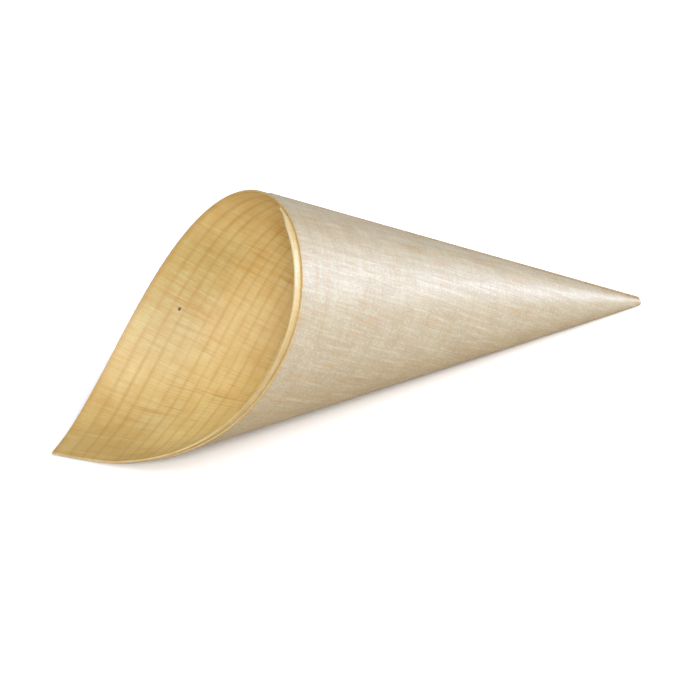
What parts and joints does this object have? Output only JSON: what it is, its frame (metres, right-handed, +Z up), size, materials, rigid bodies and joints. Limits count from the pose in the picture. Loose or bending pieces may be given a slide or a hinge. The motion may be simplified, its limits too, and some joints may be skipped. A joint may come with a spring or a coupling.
{
  "type": "wooden food cone",
  "caption": "Cone rolled from one thin wood veneer sheet, with a slanted pointed mouth, for holding fries, snacks or finger food.",
  "frame": {"origin": "centre of the footprint, on the surface that the cone lies on", "axes": "+X along the line of contact towards the closed tip, so the mouth and its lip point to -X, +Z up, +Y to the left of the tip"},
  "size_m": [0.1248, 0.048, 0.0429],
  "materials": {
    "wood_veneer": "smooth pale veneer, unlacquered with a faint sheen"
  },
  "bodies": {
    "root": {"rolled_veneer": "wood_veneer"}
  },
  "joints": []
}
